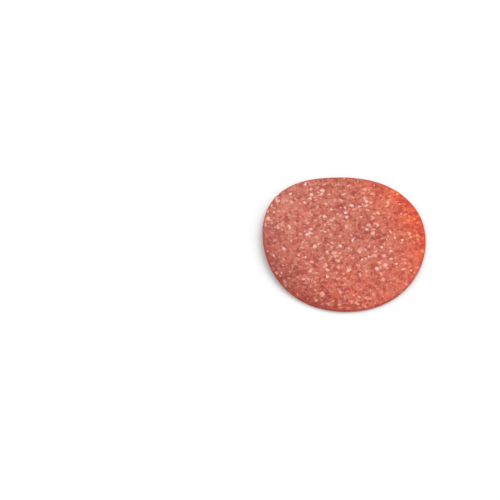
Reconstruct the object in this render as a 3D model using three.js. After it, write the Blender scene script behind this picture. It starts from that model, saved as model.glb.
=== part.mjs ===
// One slice of a fine-grained cured sausage, cut straight across and lying on its cut face.
// Millimetres, +Z up. The origin is the middle of the slice's footprint, on the surface it lies on.
// +X runs along the slice's longest diameter, and the edge towards -X has curled up a little.

import * as THREE from "three";

// Outline of the cut, seen from above: an oval with soft corners.
const LONG_DIAMETER = 95.6;
const SHORT_DIAMETER = 93.2;
const THREE_LOBE_BULGE = 1; // how far the three soft corners stand out of the oval
const FOUR_LOBE_BULGE = 0.6; // the same for four softer corners between them
const THREE_LOBE_TURN = 23; // degrees from +X to the first of the three corners
const FOUR_LOBE_TURN = 42; // degrees from +X to the first of the four

// Section through the rim.
const THICKNESS = 1.8;
const RIM_ROUNDING = 0.55; // radius of the rim's upper and lower edges

// The curl: past a straight fold line the slice bends up, ever more steeply, to its raised edge.
const CURL_HEIGHT = 3.2;
const CURL_START = 10; // distance from the middle to the fold line
const CURL_TURN = 172; // degrees from +X to the side that has curled

// Soft waves of the rim: outside the flat middle it lifts a little at these places.
const FLAT_RADIUS = 27;
const RIM_WAVES = [
  { turn: 68, width: 80, height: 0.9 },
  { turn: 322, width: 70, height: 0.5 },
];

// Fineness of the faceted solid.
const SEGMENTS_ROUND = 96;
const RINGS_PER_FACE = 10;
const STEPS_PER_ROUNDING = 2;

const MEAT_COLOUR = 0xc4685a;

/** Half the profile of a round slice: from the axis out along the underside, round the rim and back. */
function sliceProfile(radius) {
  const flatEnd = radius - RIM_ROUNDING;
  const underside = [];
  for (let ring = 0; ring < RINGS_PER_FACE; ring += 1) {
    underside.push(new THREE.Vector2((flatEnd * ring) / RINGS_PER_FACE, 0));
  }
  const lowerEdge = [];
  for (let step = 0; step <= STEPS_PER_ROUNDING; step += 1) {
    const angle = (Math.PI / 2) * (step / STEPS_PER_ROUNDING);
    lowerEdge.push(
      new THREE.Vector2(
        flatEnd + RIM_ROUNDING * Math.sin(angle),
        RIM_ROUNDING * (1 - Math.cos(angle)),
      ),
    );
  }
  const lowerHalf = [...underside, ...lowerEdge];
  const upperHalf = lowerHalf.map((p) => new THREE.Vector2(p.x, THICKNESS - p.y)).reverse();
  return [...lowerHalf, ...upperHalf];
}

/** Distance from the middle to the outline in one direction. */
function outlineRadius(angle) {
  const along = Math.cos(angle) / (LONG_DIAMETER / 2);
  const across = Math.sin(angle) / (SHORT_DIAMETER / 2);
  const oval = 1 / Math.hypot(along, across);
  const threeLobes = Math.cos(3 * (angle - THREE.MathUtils.degToRad(THREE_LOBE_TURN)));
  const fourLobes = Math.cos(4 * (angle - THREE.MathUtils.degToRad(FOUR_LOBE_TURN)));
  return oval + THREE_LOBE_BULGE * threeLobes + FOUR_LOBE_BULGE * fourLobes;
}

/** How far the slice has curled up at a point of its plan. */
function curlLift(x, y) {
  const turn = THREE.MathUtils.degToRad(CURL_TURN);
  const towardsEdge = x * Math.cos(turn) + y * Math.sin(turn);
  const reach = outlineRadius(turn) - CURL_START;
  const past = Math.max(0, towardsEdge - CURL_START) / reach;
  return CURL_HEIGHT * past ** 2;
}

/** How far the rim's waves lift a point of the plan. */
function waveLift(x, y) {
  const angle = Math.atan2(y, x);
  const distance = Math.hypot(x, y);
  const outwards = Math.max(0, distance - FLAT_RADIUS) / (outlineRadius(angle) - FLAT_RADIUS);
  let lift = 0;
  for (const wave of RIM_WAVES) {
    const away = angle - THREE.MathUtils.degToRad(wave.turn);
    const wrapped = Math.atan2(Math.sin(away), Math.cos(away));
    const share = Math.min(1, Math.abs(wrapped) / THREE.MathUtils.degToRad(wave.width / 2));
    lift += wave.height * Math.cos((Math.PI / 2) * share) ** 2 * outwards ** 2;
  }
  return lift;
}

/** The slice as one closed body, centred over its footprint. */
function sliceGeometry() {
  const roundRadius = SHORT_DIAMETER / 2;
  const geometry = new THREE.LatheGeometry(sliceProfile(roundRadius), SEGMENTS_ROUND);
  geometry.rotateX(Math.PI / 2);
  const place = geometry.getAttribute("position");
  for (let i = 0; i < place.count; i += 1) {
    const angle = Math.atan2(place.getY(i), place.getX(i));
    const stretch = outlineRadius(angle) / roundRadius;
    const x = place.getX(i) * stretch;
    const y = place.getY(i) * stretch;
    place.setXYZ(i, x, y, place.getZ(i) + curlLift(x, y) + waveLift(x, y));
  }
  geometry.computeBoundingBox();
  const middle = geometry.boundingBox.getCenter(new THREE.Vector3());
  geometry.translate(-middle.x, -middle.y, 0);
  geometry.computeVertexNormals();
  return geometry;
}

const meat = new THREE.MeshStandardMaterial({ color: MEAT_COLOUR, roughness: 0.5, metalness: 0 });
const slice = new THREE.Mesh(sliceGeometry(), meat);
slice.name = "sausage_slice";

const group = new THREE.Group();
group.add(slice);

export default group;
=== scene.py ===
"""One slice of fine-grained cured sausage, lying on a white studio floor.

The slice is laid onto the form of its CAD solid: a dense sheet of square cells takes the solid's
outline, underside and thickness, then a relief of fat grains, pits and rim wrinkles is pressed into
its surface. The relief and the colours come from one pattern, so that every grain is coloured where
it stands proud.
"""

import logging
import math
from dataclasses import dataclass
from enum import Enum

import bmesh
import bpy
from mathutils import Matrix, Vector
from mathutils.bvhtree import BVHTree


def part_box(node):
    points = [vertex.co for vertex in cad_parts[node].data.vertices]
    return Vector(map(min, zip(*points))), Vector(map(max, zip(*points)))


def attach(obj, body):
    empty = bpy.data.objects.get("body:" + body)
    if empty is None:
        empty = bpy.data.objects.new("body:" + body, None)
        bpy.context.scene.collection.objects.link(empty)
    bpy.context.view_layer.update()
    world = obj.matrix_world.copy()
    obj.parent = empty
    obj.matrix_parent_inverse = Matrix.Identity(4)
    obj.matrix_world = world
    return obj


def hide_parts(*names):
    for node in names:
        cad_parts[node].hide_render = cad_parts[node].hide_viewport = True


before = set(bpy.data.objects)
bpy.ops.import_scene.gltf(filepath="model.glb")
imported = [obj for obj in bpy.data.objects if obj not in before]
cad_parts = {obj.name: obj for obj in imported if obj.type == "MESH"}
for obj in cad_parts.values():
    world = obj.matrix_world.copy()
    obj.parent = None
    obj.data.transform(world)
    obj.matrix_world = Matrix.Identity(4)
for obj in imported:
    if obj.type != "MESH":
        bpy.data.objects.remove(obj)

LOG = logging.getLogger("cured_sausage")
MM = 0.001
NODE = "sausage_slice"
BODY = "root"
RIM_ATTRIBUTE = "rim_distance"

Colour = tuple[float, float, float]
Direction = tuple[float, float, float]
Span = tuple[float, float]
Socket = bpy.types.NodeSocket
Node = bpy.types.Node
Value = Socket | float
Inputs = dict[str | int, object]

RIGHT: Direction = (1.0, 0.0, 0.0)
FRONT: Direction = (0.0, -1.0, 0.0)
# The side on which an orange glow of light is painted.
PAINTED_GLOW_SIDE: Direction = (0.94, 0.34, 0.0)
CURLED_SIDE: Direction = (-0.75, -0.66, 0.0)

# The detail and roughness of a noise with fine specks in it.
SPECKLED = (3.0, 0.6)


def display_colour(*levels: int) -> Colour:
    """Turn red, green and blue, from 0 to 255 as a screen shows them, into linear shares."""
    shares = (level / 255 for level in levels)
    return tuple(s / 12.92 if s <= 0.04045 else ((s + 0.055) / 1.055) ** 2.4 for s in shares)


def add_object(name: str, data: bpy.types.ID) -> bpy.types.Object:
    """Put a new object into the scene.

    Args:
        name: What it is called.
        data: Its mesh, light or camera.

    Returns:
        The new object.
    """
    made = bpy.data.objects.new(name, data)
    bpy.context.scene.collection.objects.link(made)
    return made


class TreeKind(Enum):
    """The two kinds of node tree that the meat's pattern is built in."""

    SHADER = "ShaderNodeTree"
    GEOMETRY = "GeometryNodeTree"

    @property
    def group_node(self) -> str:
        """The node that holds a group in a tree of this kind."""
        return "ShaderNodeGroup" if self is TreeKind.SHADER else "GeometryNodeGroup"


class NodeSheet:
    """A node tree with a short method for each node that the patterns are made of."""

    def __init__(self, tree: bpy.types.NodeTree) -> None:
        """Keep the tree that the nodes are added to."""
        self.tree = tree

    def node(self, kind: str, inputs: Inputs | None = None, **settings: object) -> Node:
        """Add a node, set its options and feed its inputs.

        Args:
            kind: Blender's name for the node type.
            inputs: What each input takes, by its name or number.
            **settings: The node's own options by name.

        Returns:
            The new node.
        """
        made = self.tree.nodes.new(kind)
        for name, value in settings.items():
            setattr(made, name, value)
        for name, value in (inputs or {}).items():
            self.feed(made.inputs[name], value)
        return made

    def feed(self, socket: Socket, value: object) -> None:
        """Link a socket to another node's output, or set its plain value.

        Args:
            socket: The input that is fed.
            value: The output's socket, or the plain value.
        """
        if isinstance(value, Socket):
            self.tree.links.new(value, socket)
        else:
            socket.default_value = value

    def math(self, operation: str, *values: Value) -> Socket:
        """Work out one number from one, two or three others, given in order."""
        made = self.node("ShaderNodeMath", dict(enumerate(values)), operation=operation)
        return made.outputs[0]

    def times(self, first: Value, second: Value) -> Socket:
        """Multiply two numbers."""
        return self.math("MULTIPLY", first, second)

    def vector(self, operation: str, *values: object, output: str = "Vector") -> Socket:
        """Work out one vector from one or two others, or a number where output is Value."""
        made = self.node("ShaderNodeVectorMath", dict(enumerate(values)), operation=operation)
        return made.outputs[output]

    def scaled(self, vector: object, factor: Value) -> Socket:
        """Make a vector longer or shorter by a factor."""
        alike = factor if isinstance(factor, Socket) else (factor, factor, factor)
        return self.vector("MULTIPLY", vector, alike)

    def parts(self, vector: object) -> list[Socket]:
        """Take a vector or a colour apart into its three numbers."""
        return list(self.node("ShaderNodeSeparateXYZ", {0: vector}).outputs)

    def turned(self, place: object, angle: Value) -> Socket:
        """Turn a place about the slice's axis, by an angle in radians."""
        return self.node("ShaderNodeVectorRotate", {"Vector": place, "Angle": angle},
                         rotation_type="Z_AXIS").outputs[0]

    def ramp(self, value: Value, low: Value, high: Value, start: float = 0.0, end: float = 1.0,
             smooth: bool = True) -> Socket:
        """Carry a value from one range into another, held at both ends.

        Args:
            value: The value that is read.
            low: Where the range that is read begins.
            high: Where it ends. It may be below low.
            start: What comes out at low.
            end: What comes out at high.
            smooth: Whether both ends ease in.

        Returns:
            The result's socket.
        """
        made = self.node("ShaderNodeMapRange", {"Value": value, "From Min": low, "From Max": high,
                                                "To Min": start, "To Max": end},
                         interpolation_type="SMOOTHSTEP" if smooth else "LINEAR", clamp=True)
        return made.outputs["Result"]

    def noise(self, place: object, size_mm: float, detail: float = 2.0, roughness: float = 0.5,
              colour: bool = False) -> Socket:
        """Read a cloudy noise.

        Args:
            place: The place at which it is read, in millimetres.
            size_mm: How large its clouds are.
            detail: How many finer layers lie on it.
            roughness: How strong each finer layer is.
            colour: Whether three independent values come out in place of one.

        Returns:
            The noise's socket, around 0.5.
        """
        made = self.node("ShaderNodeTexNoise", {"Vector": place, "Scale": 1 / size_mm,
                                                "Detail": detail, "Roughness": roughness},
                         noise_dimensions="3D")
        return made.outputs["Color" if colour else "Fac"]

    def swing(self, place: object, size_mm: float, detail: float = 2.0,
              roughness: float = 0.5) -> Socket:
        """Read a cloudy noise that swings evenly about zero. It takes what noise takes."""
        return self.math("SUBTRACT", self.noise(place, size_mm, detail, roughness), 0.5)

    def cells(self, place: object, size_mm: float = 1.0, feature: str = "F1") -> Node:
        """Read a pattern of cells: which cell a place lies in, or how far it is from its edge."""
        return self.node("ShaderNodeTexVoronoi", {"Vector": place, "Scale": 1 / size_mm},
                         voronoi_dimensions="3D", feature=feature)

    def along(self, place: object, direction: Direction) -> Socket:
        """Measure how far a place lies in one direction."""
        return self.vector("DOT_PRODUCT", place, direction, output="Value")

    def facing(self, place: object, direction: Direction) -> Socket:
        """Measure how well the way from the middle to a place agrees with a direction, up to 1."""
        return self.along(self.vector("NORMALIZE", place), direction)

    def blend(self, share: Value, under: object, over: object, mode: str = "MIX") -> Socket:
        """Lay one colour over another by a share, or multiply them by it.

        Args:
            share: How much of the colour on top tells, from 0 to 1.
            under: The colour, or its socket, that lies below.
            over: The colour, or its socket, on top.
            mode: The Mix node's blend type.

        Returns:
            The socket of the colour that comes out.
        """
        made = self.node("ShaderNodeMix", {0: share}, data_type="RGBA", clamp_factor=True,
                         blend_type=mode)
        colours = [s for s in made.inputs if s.type == "RGBA"]
        for socket, given in zip(colours, (under, over)):
            self.feed(socket, given if isinstance(given, Socket) else (*given, 1.0))
        return next(s for s in made.outputs if s.type == "RGBA")

    def tint(self, share: Value, colour: object, factor: Colour) -> Socket:
        """Multiply a colour by a factor, by a share from 0 to 1."""
        return self.blend(share, colour, self.blend(1.0, colour, factor, mode="MULTIPLY"))


class Group:
    """A node group with named inputs and outputs, being built."""

    def __init__(self, name: str, kind: TreeKind) -> None:
        """Start an empty group.

        Args:
            name: What the group is called.
            kind: Whether it is for materials or for geometry.
        """
        self.tree = bpy.data.node_groups.new(f"{name}_{kind.name.lower()}", kind.value)
        self.sheet = NodeSheet(self.tree)
        self._kind = kind
        self._entry = self.tree.nodes.new("NodeGroupInput")
        self._exit = self.tree.nodes.new("NodeGroupOutput")

    def takes(self, name: str, kind: str = "NodeSocketFloat") -> Socket:
        """Add an input and return the socket that carries it inside the group."""
        self.tree.interface.new_socket(name=name, in_out="INPUT", socket_type=kind)
        return self._entry.outputs[name]

    def gives(self, name: str, value: object, kind: str = "NodeSocketFloat") -> None:
        """Add an output and link a socket of the group to it."""
        self.tree.interface.new_socket(name=name, in_out="OUTPUT", socket_type=kind)
        self.sheet.feed(self._exit.inputs[name], value)

    def place_in(self, sheet: NodeSheet, label: str, **inputs: object) -> Node:
        """Place the finished group in a sheet, with what each of its inputs takes."""
        return sheet.node(self._kind.group_node, inputs, node_tree=self.tree, label=label)


@dataclass(frozen=True)
class GrainLayer:
    """One size of fat grain, strewn through the meat. Sizes are in millimetres.

    Args:
        name: What the layer is called.
        spacing: The mean distance between grains, were every place taken.
        share: The share of places that hold a grain.
        smallest: The smallest grain's radius.
        largest: The largest grain's radius.
        softness: Half the width of a grain's blurred edge.
        offset: Where its own pattern is read, so that no two layers agree.
        clearest: How much of the lean's colour the clearest grains hide.
        stretch: How many times its radius a grain reaches along each axis.
        turn: Degrees that the stretched grains are turned about the slice's axis.
    """

    name: str
    spacing: float
    share: float
    smallest: float
    largest: float
    softness: float
    offset: Vector
    clearest: float = 1.0
    stretch: Vector = Vector((1, 1, 1))
    turn: float = 0.0


class GrainGroup:
    """The node group of one strewing of grains, used by every grain layer."""

    def __init__(self, kind: TreeKind) -> None:
        """Build the group.

        Args:
            kind: Whether it is for materials or for geometry.
        """
        group = Group("fat_grains", kind)
        sheet = group.sheet
        place = group.takes("Place", "NodeSocketVector")
        spacing, share, smallest, largest, softness = (
            group.takes(name) for name in ("Spacing", "Share", "Smallest", "Largest", "Softness"))
        cells = sheet.cells(sheet.scaled(place, sheet.math("DIVIDE", 1.0, spacing)))
        chance, size, tone = sheet.parts(cells.outputs["Color"])
        taken = sheet.math("LESS_THAN", chance, share)
        wider = sheet.times(sheet.math("SUBTRACT", largest, smallest), size)
        radius = sheet.math("ADD", smallest, wider)
        reach = sheet.times(cells.outputs["Distance"], spacing)
        past = sheet.math("SUBTRACT", reach, radius)
        inside = sheet.ramp(past, softness, sheet.times(softness, -1.0))
        group.gives("Mask", sheet.times(inside, taken))
        group.gives("Tone", tone)
        self._group = group

    def strew(self, sheet: NodeSheet, place: object, layer: GrainLayer) -> Node:
        """Place the group in a sheet with one layer's values.

        Args:
            sheet: The sheet that the group is placed in.
            place: Where the pattern is read, in millimetres.
            layer: The grains to strew.

        Returns:
            The group's node, with Mask and Tone outputs.
        """
        turned = sheet.turned(sheet.vector("SUBTRACT", place, layer.offset),
                              -math.radians(layer.turn))
        drawn = sheet.vector("DIVIDE", turned, layer.stretch)
        return self._group.place_in(
            sheet, layer.name, Place=drawn, Spacing=layer.spacing, Share=layer.share,
            Smallest=layer.smallest, Largest=layer.largest, Softness=layer.softness)


@dataclass(frozen=True)
class MosaicLayer:
    """One fineness of ground meat, in which each particle has a tone of its own.

    Sizes are in millimetres.

    Args:
        name: What the layer is called.
        size: How large a particle is.
        weight: How strongly the layer tells.
        border: How far in from its border a particle reaches its own tone.
        offset: Where its own pattern is read, so that no two layers agree.
    """

    name: str
    size: float
    weight: float
    border: float
    offset: Vector


class MosaicGroup:
    """The node group of one mosaic of particles, used by every mosaic layer."""

    def __init__(self, kind: TreeKind) -> None:
        """Build the group.

        Args:
            kind: Whether it is for materials or for geometry.
        """
        group = Group("ground_mosaic", kind)
        sheet = group.sheet
        place = group.takes("Place", "NodeSocketVector")
        size, border = group.takes("Size"), group.takes("Border")
        read = sheet.scaled(place, sheet.math("DIVIDE", 1.0, size))
        edge = sheet.cells(read, feature="DISTANCE_TO_EDGE").outputs["Distance"]
        inward = sheet.ramp(sheet.times(edge, size), 0.0, border)
        tone = sheet.math("SUBTRACT", sheet.parts(sheet.cells(read).outputs["Color"])[0], 0.5)
        group.gives("Tone", sheet.times(tone, inward))
        self._group = group

    def lay(self, sheet: NodeSheet, place: object, layer: MosaicLayer) -> Socket:
        """Place the group in a sheet with one layer's values.

        Args:
            sheet: The sheet that the group is placed in.
            place: Where the pattern is read, in millimetres.
            layer: The particles to lay.

        Returns:
            The socket of the particles' tone, from -0.5 to 0.5.
        """
        made = self._group.place_in(
            sheet, layer.name, Place=sheet.vector("ADD", place, layer.offset), Size=layer.size,
            Border=layer.border)
        return made.outputs["Tone"]


@dataclass(frozen=True)
class MeatPattern:
    """Where lean, fat and pits lie in the cured meat. Sizes are in millimetres.

    Args:
        mosaics: The ground particles of lean, from coarse to fine.
        fats: The layers of fat grains, from coarse to fine.
        white_fat: The few hard, nearly white grains.
        pits: Small gaps where a grain has fallen out.
        bends: How large, and how strong, the drifts are that bend the grains out of round.
        cloud: How large the richer and poorer patches of lean are.
        cloud_weight: How strongly they tell.
        faintest: How much the most stained grains hide, as a share of what the clearest ones do.
        faintest_white: How much of the lean's colour the faintest white grains hide.
        bundle: How large a piece of lean is whose fibres all run one way.
        fibre: How wide, long and deep a fibre is.
    """

    mosaics: tuple[MosaicLayer, ...] = (
        MosaicLayer("coarse_particles", 3.4, 1.1, 0.8, Vector((31, 17, 5))),
        MosaicLayer("middle_particles", 1.9, 1.25, 0.4, Vector((3, 71, 29))),
        MosaicLayer("fine_particles", 0.95, 0.6, 0.25, Vector((43, 8, 67))),
    )
    fats: tuple[GrainLayer, ...] = (
        GrainLayer("coarse_fat", 3.1, 0.66, 0.78, 1.5, 0.36, Vector((7, 3, 11)), 1.0),
        GrainLayer("drawn_fat", 2.3, 0.6, 0.44, 0.94, 0.28, Vector((13, 41, 23)), 1.0,
                   Vector((1.7, 0.85, 0.9)), 24.0),
        GrainLayer("smeared_fat", 2.2, 0.6, 0.44, 0.9, 0.28, Vector((53, 9, 37)), 1.0,
                   Vector((0.85, 1.6, 0.9)), 35.0),
        GrainLayer("small_fat", 1.5, 0.6, 0.32, 0.64, 0.18, Vector((23, 61, 19)), 0.9),
        GrainLayer("fine_fat", 1.0, 0.5, 0.18, 0.36, 0.14, Vector((71, 29, 7)), 0.4),
    )
    white_fat: GrainLayer = GrainLayer("white_fat", 4.0, 0.38, 0.5, 1.15, 0.28,
                                       Vector((61, 2, 47)), 0.95)
    pits: GrainLayer = GrainLayer("pits", 3.6, 0.22, 0.2, 0.7, 0.18, Vector((19, 83, 59)))
    bends: tuple[tuple[float, float], ...] = ((3.0, 1.0), (1.3, 0.8), (0.55, 0.2))
    cloud: float = 9.0
    cloud_weight: float = 1.0
    faintest: float = 0.1
    faintest_white: float = 0.15
    bundle: float = 2.6
    fibre: Vector = Vector((0.3, 2.2, 0.6))

    def group(self, kind: TreeKind) -> Group:
        """Build the pattern as a node group.

        Args:
            kind: Whether the group is for materials or for geometry.

        Returns:
            A group that takes Place, in metres, and gives Richness, Fibres, Fat, White fat and
            Pits.
        """
        group = Group("meat_pattern", kind)
        sheet = group.sheet
        grains, mosaic = GrainGroup(kind), MosaicGroup(kind)
        place = sheet.scaled(group.takes("Place", "NodeSocketVector"), 1 / MM)
        for size, strength in self.bends:
            drift = sheet.vector("SUBTRACT", sheet.noise(place, size, colour=True), (0.5, 0.5, 0.5))
            place = sheet.vector("ADD", place, sheet.scaled(drift, 2 * strength))
        richness = sheet.times(sheet.swing(place, self.cloud), self.cloud_weight)
        for layer in self.mosaics:
            richness = sheet.math("MULTIPLY_ADD", mosaic.lay(sheet, place, layer), layer.weight,
                                  richness)
        fat: Value = 0.0
        for layer in self.fats:
            grain = grains.strew(sheet, place, layer)
            tone = sheet.math("POWER", grain.outputs["Tone"], 2.0)
            cover = sheet.ramp(tone, 0.0, 1.0, self.faintest * layer.clearest, layer.clearest,
                               smooth=False)
            fat = sheet.math("MAXIMUM", fat, sheet.times(grain.outputs["Mask"], cover))
        white = grains.strew(sheet, place, self.white_fat)
        brightness = sheet.ramp(white.outputs["Tone"], 0.0, 1.0, self.faintest_white,
                                self.white_fat.clearest)
        group.gives("Richness", richness)
        group.gives("Fibres", self._fibres(sheet, place))
        group.gives("Fat", fat)
        group.gives("White fat", sheet.times(white.outputs["Mask"], brightness))
        group.gives("Pits", grains.strew(sheet, place, self.pits).outputs["Mask"])
        return group

    def _fibres(self, sheet: NodeSheet, place: Socket) -> Socket:
        """Draw the lean's fibres, which run another way in each bundle.

        Args:
            sheet: The sheet that they are drawn in.
            place: The socket of each point's place, in millimetres.

        Returns:
            The socket of a noise drawn out along the fibres, around 0.5.
        """
        bundles = sheet.cells(place, self.bundle)
        angle = sheet.times(sheet.parts(bundles.outputs["Color"])[0], 2 * math.pi)
        drawn = sheet.vector("DIVIDE", sheet.turned(place, angle), self.fibre)
        return sheet.noise(drawn, 1.0, roughness=0.6)


@dataclass(frozen=True)
class Relief:
    """How the pattern stands out of the surface. Heights are in millimetres.

    Args:
        fat: How far fat grains stand proud of the lean, which shrinks as it dries.
        pit: How deep a pit is.
        lean: The height of the lean's own fine unevenness.
        swell: The height of the soft swells across the whole cut.
        wrinkle: The height of the fine upright wrinkles round the rim.
        rim_width: How far in from the outline the rim's wrinkles reach.
        lean_size: How wide the lean's unevenness is.
        swell_size: How wide the swells are.
        wrinkle_size: How wide the wrinkles are.
        wrinkle_upright: How much shorter a wrinkle is round the rim than up it.
        under_range: How far a face looks up where the underside begins, and where it is whole.
        peak_share: How far above its middle a noise rises at most, as a share of its height.
    """

    fat: float = 0.085
    pit: float = 0.28
    lean: float = 0.06
    swell: float = 0.22
    wrinkle: float = 0.12
    rim_width: float = 1.2
    lean_size: float = 1.9
    swell_size: float = 17.0
    wrinkle_size: float = 2.2
    wrinkle_upright: float = 0.25
    under_range: Span = (-0.2, -0.8)
    peak_share: float = 0.25

    def press(self, piece: bpy.types.Object, pattern: MeatPattern) -> None:
        """Press the relief into a piece's mesh.

        Args:
            piece: The piece, with a fine, even mesh.
            pattern: Where the grains and pits lie.
        """
        group = Group("meat_relief", TreeKind.GEOMETRY)
        sheet = group.sheet
        place = sheet.node("GeometryNodeInputPosition").outputs[0]
        normal = sheet.node("GeometryNodeInputNormal").outputs[0]
        height = self._height(sheet, place, pattern)
        under = sheet.ramp(sheet.parts(normal)[2], *self.under_range)
        sunk = sheet.math("SUBTRACT", height, sheet.times(under, self._highest()))
        moved = sheet.node("GeometryNodeSetPosition", {
            "Geometry": group.takes("Mesh", "NodeSocketGeometry"),
            "Offset": sheet.scaled(normal, sheet.times(sunk, MM))})
        group.gives("Mesh", moved.outputs["Geometry"], "NodeSocketGeometry")
        modifier = piece.modifiers.new("meat_relief", "NODES")
        modifier.node_group = group.tree
        graph = bpy.context.evaluated_depsgraph_get()
        pressed = bpy.data.meshes.new_from_object(piece.evaluated_get(graph))
        piece.modifiers.clear()
        piece.data = pressed

    def _highest(self) -> float:
        """Return how far the relief stands out at most, so that the underside can sink by it."""
        return self.fat + self.peak_share * (self.lean + self.swell + self.wrinkle)

    def _height(self, sheet: NodeSheet, place: Socket, pattern: MeatPattern) -> Socket:
        """Add up the relief's layers.

        Args:
            sheet: The sheet of the geometry tree.
            place: The socket of each point's place, in metres.
            pattern: Where the grains and pits lie.

        Returns:
            The socket of the height, in millimetres.
        """
        meat = pattern.group(TreeKind.GEOMETRY).place_in(sheet, "meat", Place=place)
        mm = sheet.scaled(place, 1 / MM)
        swell = sheet.swing(mm, self.swell_size)
        lean = sheet.swing(mm, self.lean_size, *SPECKLED)
        upright = sheet.vector("MULTIPLY", mm, (1.0, 1.0, self.wrinkle_upright))
        wrinkle = sheet.swing(upright, self.wrinkle_size)
        distance = sheet.node("GeometryNodeInputNamedAttribute", {"Name": RIM_ATTRIBUTE},
                              data_type="FLOAT")
        rim = sheet.ramp(distance.outputs["Attribute"], self.rim_width, 0.0)
        height: Value = 0.0
        for share, strength in (
            (meat.outputs["Fat"], self.fat),
            (meat.outputs["White fat"], self.fat),
            (meat.outputs["Pits"], -self.pit),
            (lean, self.lean),
            (swell, self.swell),
            (sheet.times(wrinkle, rim), 2 * self.wrinkle),
        ):
            height = sheet.math("MULTIPLY_ADD", share, strength, height)
        return height


@dataclass(frozen=True)
class Surface:
    """What the meat's material reads at each point of the surface.

    Args:
        sheet: The material's sheet.
        mm: The socket of the point's place, in millimetres.
        meat: The meat pattern's node.
    """

    sheet: NodeSheet
    mm: Socket
    meat: Node


@dataclass(frozen=True)
class Change:
    """One change of colour, which grows over a distance. Distances are in millimetres.

    Args:
        colour: What it does to the colour under it.
        reach: Where the change begins and where it is whole.
        ragged: How far patches move its border.
        bend: The power that holds it back until near where it is whole, 1 for a soft ease.
        most: The share that it comes to.
        covers: Whether its colour covers the old one in place of multiplying it.
    """

    colour: Colour
    reach: Span
    ragged: float = 0.0
    bend: float = 1.0
    most: float = 1.0
    covers: bool = False

    def lay(self, sheet: NodeSheet, colour: Socket, distance: Socket, patches: Value = 0.0,
            limit: Value = 1.0) -> Socket:
        """Change a colour.

        Args:
            sheet: The material's sheet.
            colour: The socket of the colour under it.
            distance: The socket of the distance that the change grows over.
            patches: The socket of the patches that make its border ragged.
            limit: What its share is multiplied by.

        Returns:
            The changed colour's socket.
        """
        eased = self.bend == 1.0
        moved = sheet.math("MULTIPLY_ADD", patches, self.ragged, distance)
        share = sheet.ramp(moved, *self.reach, 0.0, self.most, smooth=eased)
        if not eased:
            share = sheet.math("POWER", share, self.bend)
        laid = sheet.blend if self.covers else sheet.tint
        return laid(sheet.times(share, limit), colour, self.colour)


@dataclass(frozen=True)
class Sides:
    """How the colour changes from side to side and at the rim. Distances are in millimetres.

    Args:
        patch: How large the patches are that make the borders ragged.
        painted_glow: Painted light, an orange glow as if light shone through the right side.
        flush: The redder front.
        flush_right: How far to the right the flush begins and is whole.
        painted_shade: Painted shade, darker and redder, which reaches in from the outline on the
            curled side.
        shade_facing: How well a place faces the curled side where the painted shade begins and is
            whole.
        shade_elsewhere: The share of the painted shade all round the rim.
        shade_spared_by_fat: How much less fat takes the painted shade.
        rim: The dried band at the outline.
        rim_patch: How large the patches are that make the band's border ragged.
        lit_edge: Painted light shining through the edge on the glowing side.
        lit_facing: How well a place faces the glowing side where that painted light begins and is
            whole.
    """

    patch: float = 6.0
    # Painted light: the right side is tinted orange as if light shone through it.
    painted_glow: Change = Change((1.42, 0.62, 0.12), (6.0, 48.0), ragged=10.0, bend=2.2)
    flush: Change = Change((1.14, 0.94, 0.84), (-2.0, 40.0), ragged=14.0)
    flush_right: Span = (-34.0, 6.0)
    # Painted shade: the curled side is darkened and reddened from the outline in.
    painted_shade: Change = Change((0.6, 0.21, 0.12), (24.0, 0.0), ragged=5.0, bend=1.8)
    shade_facing: Span = (0.35, 0.98)
    shade_elsewhere: float = 0.04
    shade_spared_by_fat: float = 0.6
    rim: Change = Change(display_colour(160, 56, 34), (1.5, 0.1), ragged=1.2, most=0.7,
                         covers=True)
    rim_patch: float = 2.4
    # Painted light: the edge on the glowing side is tinted orange as if lit through.
    lit_edge: Change = Change((1.06, 0.5, 0.04), (3.6, 0.4), most=0.8)
    lit_facing: Span = (0.6, 0.95)

    def lay(self, surface: Surface, colour: Socket) -> Socket:
        """Paint an orange glow of light on the right side, redden the front, paint shade on the
        curled side, edge the rim and paint light through the edge on the glowing side.

        Args:
            surface: What the material reads.
            colour: The socket of the colour under it.

        Returns:
            The changed colour's socket.
        """
        sheet, mm = surface.sheet, surface.mm
        inward = sheet.node("ShaderNodeAttribute", attribute_type="GEOMETRY",
                            attribute_name=RIM_ATTRIBUTE).outputs["Fac"]
        patches = sheet.swing(mm, self.patch)
        # Painted light: an orange glow towards the right side.
        colour = self.painted_glow.lay(sheet, colour, sheet.along(mm, PAINTED_GLOW_SIDE), patches)
        right = sheet.ramp(sheet.along(mm, RIGHT), *self.flush_right)
        colour = self.flush.lay(sheet, colour, sheet.along(mm, FRONT), patches, right)
        # Painted shade on the curled side, less on fat.
        curled = sheet.ramp(sheet.facing(mm, CURLED_SIDE), *self.shade_facing,
                            self.shade_elsewhere, 1.0)
        lean = sheet.math("MULTIPLY_ADD", surface.meat.outputs["Fat"], -self.shade_spared_by_fat, 1.0)
        colour = self.painted_shade.lay(sheet, colour, inward, patches, sheet.times(curled, lean))
        colour = self.rim.lay(sheet, colour, inward, sheet.swing(mm, self.rim_patch))
        # Painted light through the edge on the glowing side.
        lit_side_share = sheet.ramp(sheet.facing(mm, PAINTED_GLOW_SIDE), *self.lit_facing)
        return self.lit_edge.lay(sheet, colour, inward, limit=lit_side_share)


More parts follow.
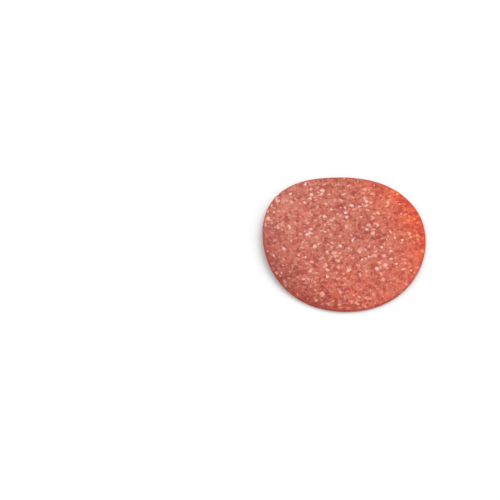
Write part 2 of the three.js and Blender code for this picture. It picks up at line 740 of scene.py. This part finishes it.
@dataclass(frozen=True)
class Gloss:
    """How the surface takes the light, and its finest unevenness. Sizes are in millimetres.

    Args:
        patch: How large the damper and drier patches are.
        patch_offset: Where their pattern is read, so that it agrees with no other.
        patch_range: Where the dampest patches of that pattern end and the driest begin.
        roughness: The roughness of the dampest patches and of the driest.
        fat_smoother: How much less rough fat is.
        grit: How large the finest unevenness is.
        grit_weight: How strongly it tells beside the fibres.
        fat_weight: How strongly the grains of fat tell beside them.
        bump_depth: How deep the unevenness is.
        bump_strength: The share of it that shows.
        settings: What the shader's plain inputs take. The subsurface scale is in metres.
    """

    patch: float = 3.0
    patch_offset: Vector = Vector((11, 1, 3))
    patch_range: Span = (0.3, 0.7)
    roughness: Span = (0.38, 0.58)
    fat_smoother: float = 0.06
    grit: float = 0.32
    grit_weight: float = 0.5
    fat_weight: float = 0.8
    bump_depth: float = 0.12
    bump_strength: float = 0.5
    settings: tuple[tuple[str, float | Colour], ...] = (
        ("IOR", 1.42),
        ("Specular IOR Level", 0.35),
        ("Coat Weight", 0.15),
        ("Coat Roughness", 0.3),
        ("Coat IOR", 1.4),
        ("Subsurface Weight", 0.6),
        ("Subsurface Radius", (1.0, 0.32, 0.22)),
        ("Subsurface Scale", 0.7 * MM),
    )

    def apply(self, surface: Surface, shader: Node) -> None:
        """Set a shader's gloss, bump and scattering.

        Args:
            surface: What the material reads.
            shader: The Principled node.
        """
        sheet = surface.sheet
        damp = sheet.noise(sheet.vector("ADD", surface.mm, self.patch_offset), self.patch, 3.0)
        roughness = sheet.math("MULTIPLY_ADD", surface.meat.outputs["Fat"], -self.fat_smoother,
                               sheet.ramp(damp, *self.patch_range, *self.roughness))
        bump = sheet.node("ShaderNodeBump", {
            "Height": self._unevenness(surface), "Strength": self.bump_strength,
            "Distance": self.bump_depth * MM})
        for name, value in (("Roughness", roughness), ("Normal", bump.outputs["Normal"]),
                            *self.settings):
            sheet.feed(shader.inputs[name], value)

    def _unevenness(self, surface: Surface) -> Socket:
        """Add up fibres in the lean, grains of fat and fine grit.

        Args:
            surface: What the material reads.

        Returns:
            The socket of the height, as a share of the bump's depth.
        """
        sheet, meat = surface.sheet, surface.meat
        bare = sheet.math("SUBTRACT", 1.0, meat.outputs["Fat"])
        height = sheet.times(meat.outputs["Fibres"], bare)
        height = sheet.math("MULTIPLY_ADD", meat.outputs["Fat"], self.fat_weight, height)
        grit = sheet.noise(surface.mm, self.grit, *SPECKLED)
        return sheet.math("MULTIPLY_ADD", grit, self.grit_weight, height)


@dataclass(frozen=True)
class CuredMeat:
    """The finish of the cut meat: what each part of the pattern looks like.

    A range gives the richness at which one colour begins and the one at which it is whole.

    Args:
        pattern: Where lean, fat and pits lie.
        deep_lean: The darkest lean.
        lean: The lean that most of the surface is.
        lean_range: Where deep lean passes into lean.
        rosy_lean: Lean with fat rubbed into it.
        rosy_range: Where lean passes into rosy lean.
        rubbed: How large, in millimetres, the specks of rubbed fat are.
        rubbed_weight: How strongly they tell.
        fibre_weight: How strongly the fibres tell.
        pale_fat: Fat stained by the lean round it.
        clear_fat: Fat that took up little colour.
        clear_share: How much of the pale fat's colour the clear fat hides.
        clear_range: How much fat must cover the lean for clear fat to begin and be whole.
        white_fat: The few nearly white grains.
        stain: How large, in millimetres, the stains in the fat are.
        stain_range: Where the deepest stains of that pattern end and unstained fat begins.
        stained: How much the most stained fat hides, as a share of what clear fat does.
        pit: The inside of a pit, darker: painted shade in the hollow.
        pit_shade_share: How much of the colour under it the painted shade in a pit hides.
        sides: How the colour changes from side to side and at the rim.
        gloss: How the surface takes the light.
    """

    pattern: MeatPattern
    deep_lean: Colour = display_colour(148, 52, 36)
    lean: Colour = display_colour(172, 80, 61)
    lean_range: Span = (-0.46, -0.02)
    rosy_lean: Colour = display_colour(182, 97, 77)
    rosy_range: Span = (-0.08, 0.36)
    rubbed: float = 0.9
    rubbed_weight: float = 0.5
    fibre_weight: float = 1.1
    pale_fat: Colour = display_colour(206, 155, 135)
    clear_fat: Colour = display_colour(210, 174, 160)
    clear_share: float = 0.8
    clear_range: Span = (0.6, 1.0)
    white_fat: Colour = display_colour(213, 192, 186)
    stain: float = 1.1
    stain_range: Span = (0.3, 0.6)
    stained: float = 0.7
    # Painted shade: pits are darkened as if shade fell in them.
    pit: Colour = display_colour(112, 40, 30)
    pit_shade_share: float = 0.7
    sides: Sides = Sides()
    gloss: Gloss = Gloss()

    RUBBED_OFFSET = Vector((5, 9, 2))
    STAIN_OFFSET = Vector((2, 6, 31))

    def material(self) -> bpy.types.Material:
        """Build the material.

        Returns:
            The finished material.
        """
        made = bpy.data.materials.new("cured_meat")
        made.use_nodes = True
        sheet = NodeSheet(made.node_tree)
        shader = made.node_tree.nodes["Principled BSDF"]
        place = sheet.node("ShaderNodeTexCoord").outputs["Object"]
        meat = self.pattern.group(TreeKind.SHADER).place_in(sheet, "meat", Place=place)
        surface = Surface(sheet, sheet.scaled(place, 1 / MM), meat)
        colour = self.sides.lay(surface, self._fat(surface, self._lean(surface)))
        # Painted shade in the pits.
        pits = sheet.times(meat.outputs["Pits"], self.pit_shade_share)
        sheet.feed(shader.inputs["Base Color"], sheet.blend(pits, colour, self.pit))
        self.gloss.apply(surface, shader)
        return made

    def _lean(self, surface: Surface) -> Socket:
        """Mottle the lean from deep to rosy.

        Args:
            surface: What the material reads.

        Returns:
            The socket of the lean's colour.
        """
        sheet, meat = surface.sheet, surface.meat
        rubbed = sheet.swing(sheet.vector("ADD", surface.mm, self.RUBBED_OFFSET), self.rubbed,
                             *SPECKLED)
        mixed = sheet.math("MULTIPLY_ADD", rubbed, self.rubbed_weight, meat.outputs["Richness"])
        fibres = sheet.math("SUBTRACT", meat.outputs["Fibres"], 0.5)
        mixed = sheet.math("MULTIPLY_ADD", fibres, self.fibre_weight, mixed)
        colour = sheet.blend(sheet.ramp(mixed, *self.lean_range), self.deep_lean, self.lean)
        return sheet.blend(sheet.ramp(mixed, *self.rosy_range), colour, self.rosy_lean)

    def _fat(self, surface: Surface, colour: Socket) -> Socket:
        """Lay the grains of fat over the lean.

        Args:
            surface: What the material reads.
            colour: The socket of the lean's colour.

        Returns:
            The socket of the colour of both.
        """
        sheet, meat = surface.sheet, surface.meat
        stain = sheet.noise(sheet.vector("ADD", surface.mm, self.STAIN_OFFSET), self.stain,
                            *SPECKLED)
        clear = sheet.ramp(stain, *self.stain_range, self.stained, 1.0)
        cover = sheet.times(meat.outputs["Fat"], clear)
        colour = sheet.blend(cover, colour, self.pale_fat)
        share = sheet.ramp(cover, *self.clear_range, 0.0, self.clear_share)
        colour = sheet.blend(share, colour, self.clear_fat)
        return sheet.blend(meat.outputs["White fat"], colour, self.white_fat)


class SliceForm:
    """The outline and underside of the CAD slice, read as smooth shapes."""

    OUTLINE_STEPS = 720
    BISECTIONS = 18
    FAR = 1.0
    WELD = 0.001 * MM
    SMOOTHING = 2

    def __init__(self, node: bpy.types.Object) -> None:
        """Read the form of a CAD node.

        Args:
            node: The CAD slice.
        """
        low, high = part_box(node.name)
        self._widest = max(high.x - low.x, high.y - low.y)
        self._tree = self._smooth_tree(node)
        self.thickness = self._hit(0.0, 0.0, -1.0) - self._hit(0.0, 0.0, 1.0)
        self._reach = [self._find_reach(2 * math.pi * step / self.OUTLINE_STEPS)
                       for step in range(self.OUTLINE_STEPS)]

    def _smooth_tree(self, node: bpy.types.Object) -> BVHTree:
        """Smooth the facets of a node's surface.

        Args:
            node: The CAD slice.

        Returns:
            The smooth surface, ready to be probed.
        """
        mesh = node.data.copy()
        merged = bmesh.new()
        merged.from_mesh(mesh)
        bmesh.ops.remove_doubles(merged, verts=merged.verts, dist=self.WELD)
        bmesh.ops.join_triangles(merged, faces=merged.faces, angle_face_threshold=math.pi,
                                 angle_shape_threshold=math.pi)
        merged.to_mesh(mesh)
        merged.free()
        guide = add_object("slice_form", mesh)
        smooth = guide.modifiers.new("smooth", "SUBSURF")
        smooth.levels = smooth.render_levels = self.SMOOTHING
        tree = BVHTree.FromObject(guide, bpy.context.evaluated_depsgraph_get())
        bpy.data.objects.remove(guide)
        return tree

    def _hit(self, x: float, y: float, upward: float) -> float | None:
        """Return where a plumb line meets the form, from below (1) or above (-1), if it does."""
        found = self._tree.ray_cast(Vector((x, y, -upward * self.FAR)), Vector((0, 0, upward)))
        return found[0].z if found[0] else None

    def _find_reach(self, angle: float) -> float:
        """Find how far the outline lies from the middle.

        Args:
            angle: The direction from the middle, in radians.

        Returns:
            The distance in metres.
        """
        inside, outside = 0.0, self._widest
        for _ in range(self.BISECTIONS):
            middle = (inside + outside) / 2
            if self._hit(middle * math.cos(angle), middle * math.sin(angle), 1.0) is None:
                outside = middle
            else:
                inside = middle
        return inside

    def reach(self, angle: float) -> float:
        """Read how far the outline lies from the middle.

        Args:
            angle: The direction from the middle, in radians.

        Returns:
            The distance in metres.
        """
        step = (angle / (2 * math.pi)) % 1.0 * self.OUTLINE_STEPS
        first = int(step) % self.OUTLINE_STEPS
        after = (first + 1) % self.OUTLINE_STEPS
        share = step - int(step)
        return self._reach[first] * (1 - share) + self._reach[after] * share

    def underside(self, angle: float, distance: float, margin: float) -> float:
        """Return the underside's height, carried on straight under the rounded rim.

        Args:
            angle: The direction from the middle.
            distance: The distance from the middle.
            margin: How far in from the outline the form's rounding may begin.

        Returns:
            The height above the surface that the slice lies on.
        """
        across, along = math.cos(angle), math.sin(angle)
        edge = self.reach(angle) - margin
        if distance <= edge:
            return self._hit(distance * across, distance * along, 1.0)
        at_edge = self._hit(edge * across, edge * along, 1.0)
        before = self._hit((edge - margin) * across, (edge - margin) * along, 1.0)
        return at_edge + (at_edge - before) * (distance - edge) / margin


@dataclass
class SausageSlice:
    """The slice as one dense, closed mesh with a relief of grains.

    Args:
        form: The CAD slice's outline and underside.
        finish: The finish of the cut meat.
        relief: How the grains stand out.
        cells_across: How many square cells lie across the slice.
        rim_rows: How many rows of cells lie up the rim.
        rim_rounding: The radius of the rim's upper and lower edges.
        form_margin: How far in from the outline the CAD form's own rounding may begin.
    """

    form: SliceForm
    finish: CuredMeat
    relief: Relief
    cells_across: int = 208
    rim_rows: int = 8
    rim_rounding: float = 0.4 * MM
    form_margin: float = 1.2 * MM

    def build(self) -> bpy.types.Object:
        """Build and dress the slice.

        Returns:
            The finished slice, at the origin with its place in its mesh.
        """
        mesh = bpy.data.meshes.new("salami_slice")
        sheet = self._sheet()
        sheet.to_mesh(mesh)
        sheet.free()
        piece = add_object("salami_slice", mesh)
        self.relief.press(piece, self.finish.pattern)
        piece.data.materials.clear()
        piece.data.materials.append(self.finish.material())
        piece.data.shade_smooth()
        return piece

    def _sheet(self) -> bmesh.types.BMesh:
        """Make the closed slice of square cells, shaped to the form.

        Returns:
            The slice's mesh, which its reader frees.
        """
        sheet = bmesh.new()
        bmesh.ops.create_grid(sheet, x_segments=self.cells_across, y_segments=self.cells_across,
                              size=1.0)
        raised = bmesh.ops.extrude_face_region(sheet, geom=sheet.faces[:])
        upper = [part for part in raised["geom"] if isinstance(part, bmesh.types.BMVert)]
        bmesh.ops.translate(sheet, vec=(0, 0, 1), verts=upper)
        walls = [edge for edge in sheet.edges if abs(edge.verts[0].co.z - edge.verts[1].co.z) > 0.5]
        bmesh.ops.subdivide_edges(sheet, edges=walls, cuts=self.rim_rows - 1, use_grid_fill=True)
        distances = sheet.verts.layers.float.new(RIM_ATTRIBUTE)
        for vert in sheet.verts:
            vert.co, vert[distances] = self._place(vert.co.x, vert.co.y, vert.co.z)
        bmesh.ops.recalc_face_normals(sheet, faces=sheet.faces)
        return sheet

    def _place(self, across: float, along: float, share: float) -> tuple[Vector, float]:
        """Carry a point of the square sheet to its place on the slice.

        Args:
            across: The point's place across the square, from -1 to 1.
            along: Its place along the square, from -1 to 1.
            share: Its height, from 0 on the underside to 1 on the top.

        Returns:
            The place in metres, and its distance in from the outline in millimetres.
        """
        out, angle = self._round(across, along)
        reach = self.form.reach(angle)
        inset, height = self._rim_point(share)
        if out < 1.0 - 1e-6:
            inset = reach - (reach - self.rim_rounding) * out
        distance = reach - inset
        z = self.form.underside(angle, distance, self.form_margin) + height
        place = Vector((distance * math.cos(angle), distance * math.sin(angle), z))
        return place, inset / MM

    @staticmethod
    def _round(across: float, along: float) -> tuple[float, float]:
        """Turn a place in a square into one in a disc of even cells.

        Args:
            across: The place across the square, from -1 to 1.
            along: The place along it, from -1 to 1.

        Returns:
            The distance from the middle, from 0 to 1, and the direction in radians.
        """
        if abs(across) >= abs(along):
            if across == 0:
                return 0.0, 0.0
            turn = math.pi / 4 * along / across
            return abs(across), turn if across > 0 else turn + math.pi
        turn = math.pi / 2 - math.pi / 4 * across / along
        return abs(along), turn if along > 0 else turn + math.pi

    def _rim_point(self, share: float) -> tuple[float, float]:
        """Walk up the rim's section, over its two rounded edges.

        Args:
            share: How much of the way is walked, from 0 at the bottom to 1 at the top.

        Returns:
            How far in from the outline the rim is there, and how high, in metres.
        """
        arc = math.pi / 2 * self.rim_rounding
        wall = self.form.thickness - 2 * self.rim_rounding
        walked = share * (2 * arc + wall)
        if arc <= walked <= arc + wall:
            return 0.0, self.rim_rounding + walked - arc
        turn = min(walked, 2 * arc + wall - walked) / self.rim_rounding
        inset = self.rim_rounding * (1 - math.sin(turn))
        rise = self.rim_rounding * (1 - math.cos(turn))
        return inset, rise if walked < arc else self.form.thickness - rise


@dataclass(frozen=True)
class Studio:
    """A white floor in soft light.

    Args:
        floor_reach: Half the width of the floor.
        floor_drop: How far the floor lies below the slice, so that the two don't flicker.
        floor_white: How much light the floor gives back.
        floor_roughness: How rough it is.
        floor_specular: How strongly it mirrors.
        sky: The strength of the even light from all round.
        key_side: Degrees from +X to the side that the main light stands on.
        key_height: Degrees that it stands above the floor.
        key_spread: How many degrees wide it looks from the slice, which softens its shadows.
        key_strength: How much light it sends.
    """

    floor_reach: float = 6.0
    floor_drop: float = 0.02 * MM
    floor_white: float = 0.74
    floor_roughness: float = 0.9
    floor_specular: float = 0.1
    sky: float = 1.1
    key_side: float = 42.0
    key_height: float = 52.0
    key_spread: float = 41.0
    key_strength: float = 1.2

    def build(self) -> None:
        """Lay the floor and hang the lights."""
        scene = bpy.context.scene
        scene.view_settings.view_transform = "Standard"
        scene.view_settings.look = "None"
        self._floor()
        self._sky()
        self._key()

    def _floor(self) -> None:
        """Lay the white floor."""
        sheet = bmesh.new()
        bmesh.ops.create_grid(sheet, x_segments=1, y_segments=1, size=self.floor_reach)
        bmesh.ops.translate(sheet, vec=(0, 0, -self.floor_drop), verts=sheet.verts)
        mesh = bpy.data.meshes.new("floor")
        sheet.to_mesh(mesh)
        sheet.free()
        paint = bpy.data.materials.new("white_floor")
        paint.use_nodes = True
        shader = paint.node_tree.nodes["Principled BSDF"]
        shader.inputs["Base Color"].default_value = (*(self.floor_white,) * 3, 1.0)
        shader.inputs["Roughness"].default_value = self.floor_roughness
        shader.inputs["Specular IOR Level"].default_value = self.floor_specular
        mesh.materials.append(paint)
        add_object("floor", mesh)

    def _sky(self) -> None:
        """Fill the room with even white light."""
        world = bpy.data.worlds.new("white_room")
        world.use_nodes = True
        light = world.node_tree.nodes["Background"]
        light.inputs["Color"].default_value = (1.0, 1.0, 1.0, 1.0)
        light.inputs["Strength"].default_value = self.sky
        bpy.context.scene.world = world

    def _key(self) -> None:
        """Hang the main soft light behind the slice, to the right."""
        side, height = math.radians(self.key_side), math.radians(self.key_height)
        away = Vector((math.cos(side) * math.cos(height), math.sin(side) * math.cos(height),
                       math.sin(height)))
        light = bpy.data.lights.new("key", "SUN")
        light.energy = self.key_strength
        light.angle = math.radians(self.key_spread)
        key = add_object("key", light)
        key.location = away
        key.rotation_euler = away.to_track_quat("Z", "Y").to_euler()


@dataclass(frozen=True)
class Viewpoint:
    """The camera, looking down on the slice from the front, with room on its left.

    Args:
        elevation: Degrees that it looks down.
        distance: How far it stands from what it aims at.
        lens: The focal length in millimetres, on a sensor 36 mm wide.
        aim: The point that it aims at.
    """

    elevation: float = 57.0
    distance: float = 0.681
    lens: float = 85.0
    aim: Vector = Vector((-54.5, -4.6, 0.0)) * MM

    def build(self) -> None:
        """Set the camera up."""
        camera = bpy.data.cameras.new("camera")
        camera.lens = self.lens
        camera.sensor_width = 36.0
        camera.clip_start = 0.01
        eye = add_object("camera", camera)
        tilt = math.radians(self.elevation)
        back = Vector((0.0, -math.cos(tilt), math.sin(tilt)))
        eye.location = self.aim + back * self.distance
        eye.rotation_euler = back.to_track_quat("Z", "Y").to_euler()
        bpy.context.scene.camera = eye


def main() -> None:
    """Build the slice and its studio, in order."""
    logging.basicConfig(level=logging.INFO, format="%(name)s: %(message)s")
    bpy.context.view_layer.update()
    Viewpoint().build()
    Studio().build()
    LOG.info("studio and camera are in place")
    form = SliceForm(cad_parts[NODE])
    LOG.info("form read, %.2f mm thick", form.thickness / MM)
    piece = SausageSlice(form, CuredMeat(MeatPattern()), Relief()).build()
    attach(piece, BODY)
    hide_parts(NODE)
    LOG.info("%s built, %d faces", piece.name, len(piece.data.polygons))


if __name__ == "__main__":
    main()
